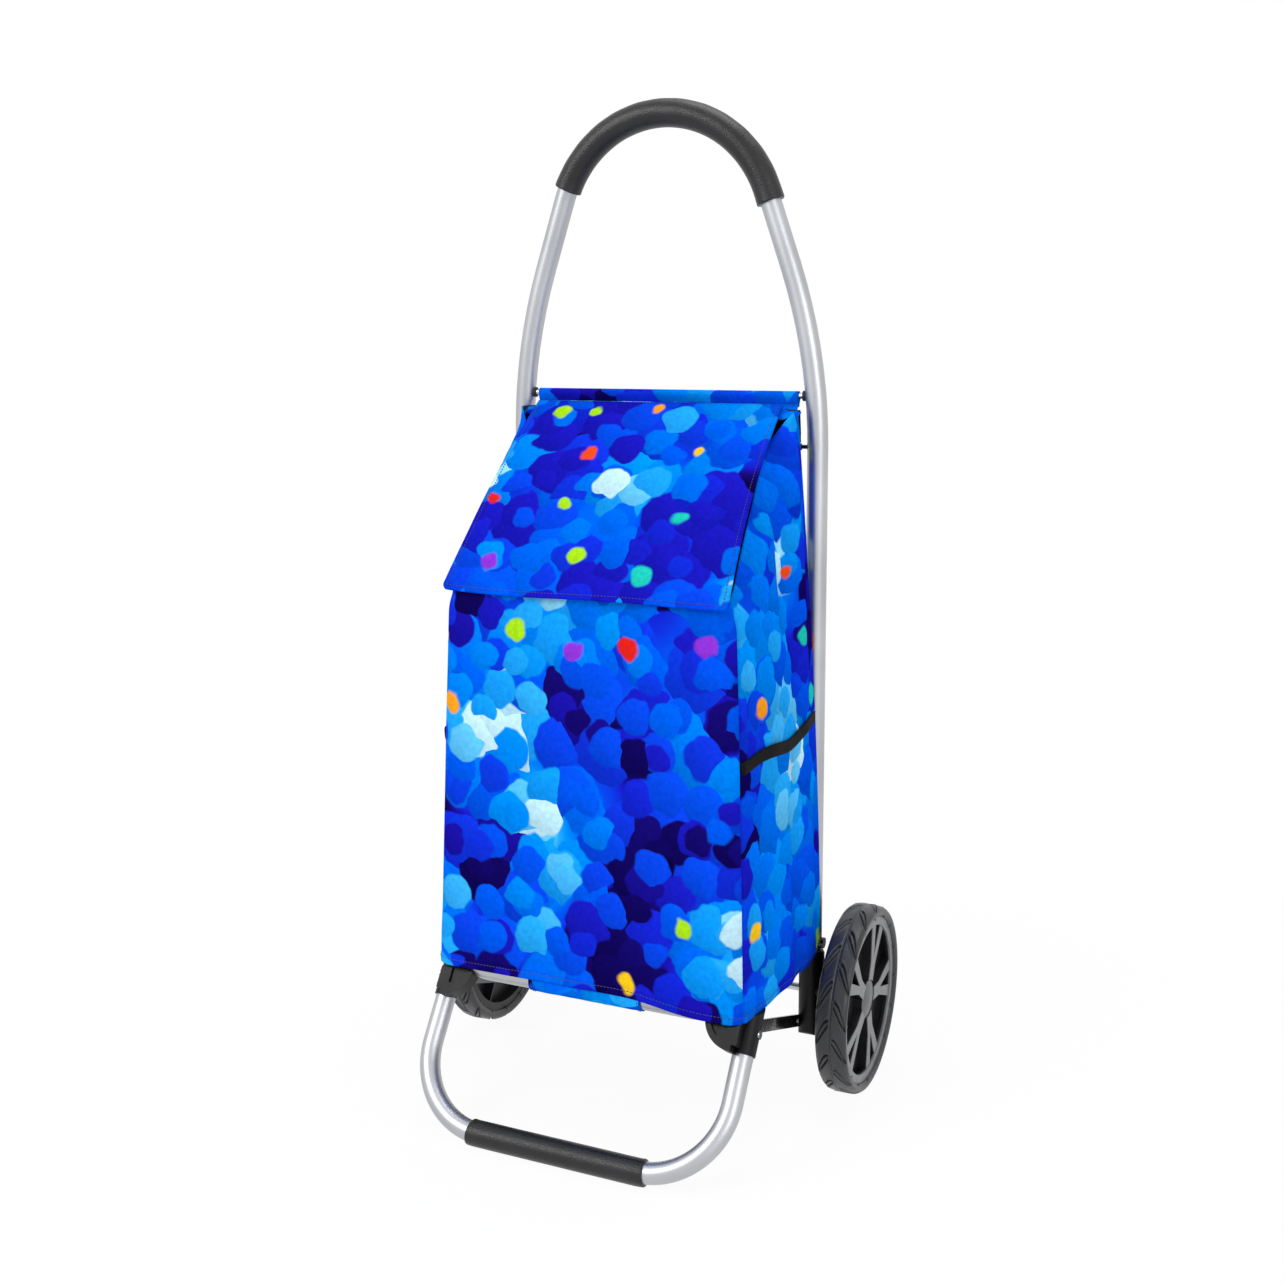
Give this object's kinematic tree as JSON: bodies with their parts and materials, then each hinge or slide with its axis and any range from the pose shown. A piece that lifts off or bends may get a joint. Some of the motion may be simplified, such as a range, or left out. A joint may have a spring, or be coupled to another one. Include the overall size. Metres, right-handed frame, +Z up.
{
  "type": "shopping trolley",
  "caption": "Shopping trolley with an aluminium tube hoop, a folding platform and front leg, two spoked wheels and a soft flap-top bag in a blue print",
  "frame": {"origin": "on the floor, under the middle of the part's bounding box", "axes": "+X to the trolley's left-to-right across the axle, -Y is the front where the foot bar and the flap's edge are, +Z up"},
  "size_m": [0.4482, 0.367, 0.97],
  "materials": {
    "aluminium_tube": "satin anodised",
    "foam": "matte closed-cell foam",
    "black_plastic": "fine moulded grain",
    "rubber": "smooth",
    "tyre_eva": "moulded, satin",
    "rim_plastic": "satin moulded",
    "nylon": "smooth",
    "zinc_steel": "zinc plated",
    "black_steel": "semi-gloss black",
    "print_fabric": "printed woven polyester",
    "webbing": "woven elastic"
  },
  "bodies": {
    "frame": {"handle_hoop": "aluminium_tube", "handle_grip": "foam", "top_rod": "zinc_steel", "rod_collars": "rubber", "lower_rod": "black_steel", "rod_straps": "webbing", "left_axle_fitting": "black_plastic", "right_axle_fitting": "black_plastic", "axle": "zinc_steel", "axle_spacers": "black_plastic", "axle_washers": "zinc_steel", "axle_nuts": "zinc_steel", "platform_pivot_bolts": "black_steel", "pivot_spacers": "black_plastic", "brace_pivot_bolts": "black_steel", "bag_body": "print_fabric", "bag_hem": "print_fabric", "bag_back_panel": "print_fabric", "bag_base_board": "black_plastic", "side_straps": "webbing"},
    "flap": {"bag_flap": "print_fabric"},
    "left_wheel": {"left_rim": "rim_plastic", "left_tyre": "tyre_eva", "left_hub_cap": "rim_plastic", "left_wheel_bush": "nylon"},
    "right_wheel": {"right_rim": "rim_plastic", "right_tyre": "tyre_eva", "right_hub_cap": "rim_plastic", "right_wheel_bush": "nylon"},
    "platform": {"platform_tube": "aluminium_tube", "platform_end_caps": "black_plastic", "front_loop": "print_fabric"},
    "leg": {"leg_tube": "aluminium_tube", "leg_grip": "foam", "left_knuckle": "black_plastic", "right_knuckle": "black_plastic", "knuckle_rivets": "zinc_steel", "knuckle_pivot_pins": "zinc_steel"},
    "left_brace_link": {"left_brace": "black_steel", "left_brace_rivet": "zinc_steel"},
    "right_brace_link": {"right_brace": "black_steel", "right_brace_rivet": "zinc_steel"}
  },
  "joints": [
    {"name": "flap_lift", "type": "hinge", "parent": "frame", "child": "flap", "pos_m": [0, 0.07255, 0.686], "axis": [-1, 0, 0], "range_deg": [0, 130]},
    {"name": "left_wheel_spin", "type": "hinge", "parent": "frame", "child": "left_wheel", "pos_m": [-0.2085, 0.08955, 0.094], "axis": [1, 0, 0], "continuous": true},
    {"name": "right_wheel_spin", "type": "hinge", "parent": "frame", "child": "right_wheel", "pos_m": [0.2085, 0.08955, 0.094], "axis": [1, 0, 0], "continuous": true},
    {"name": "platform_fold", "type": "hinge", "parent": "frame", "child": "platform", "pos_m": [0, 0.09255, 0.145], "axis": [-1, 0, 0], "range_deg": [0, 76], "deforming": ["bag_body", "bag_hem", "bag_back_panel", "bag_base_board", "side_straps"]},
    {"name": "leg_fold", "type": "hinge", "parent": "platform", "child": "leg", "pos_m": [0, -0.04745, 0.145], "axis": [1, 0, 0], "range_deg": [0, 116]},
    {"name": "left_brace_swing", "type": "hinge", "parent": "frame", "child": "left_brace_link", "pos_m": [-0.14465, 0.08855, 0.057], "axis": [-1, 0, 0], "range_deg": [0, 54]},
    {"name": "right_brace_swing", "type": "hinge", "parent": "frame", "child": "right_brace_link", "pos_m": [0.14465, 0.08855, 0.057], "axis": [-1, 0, 0], "range_deg": [0, 54]}
  ],
  "couplings": [
    {"joint": "leg_fold", "follows": "platform_fold", "ratio": 1.5134},
    {"joint": "left_brace_swing", "follows": "platform_fold", "ratio": 0.70318},
    {"joint": "right_brace_swing", "follows": "platform_fold", "ratio": 0.70318}
  ]
}
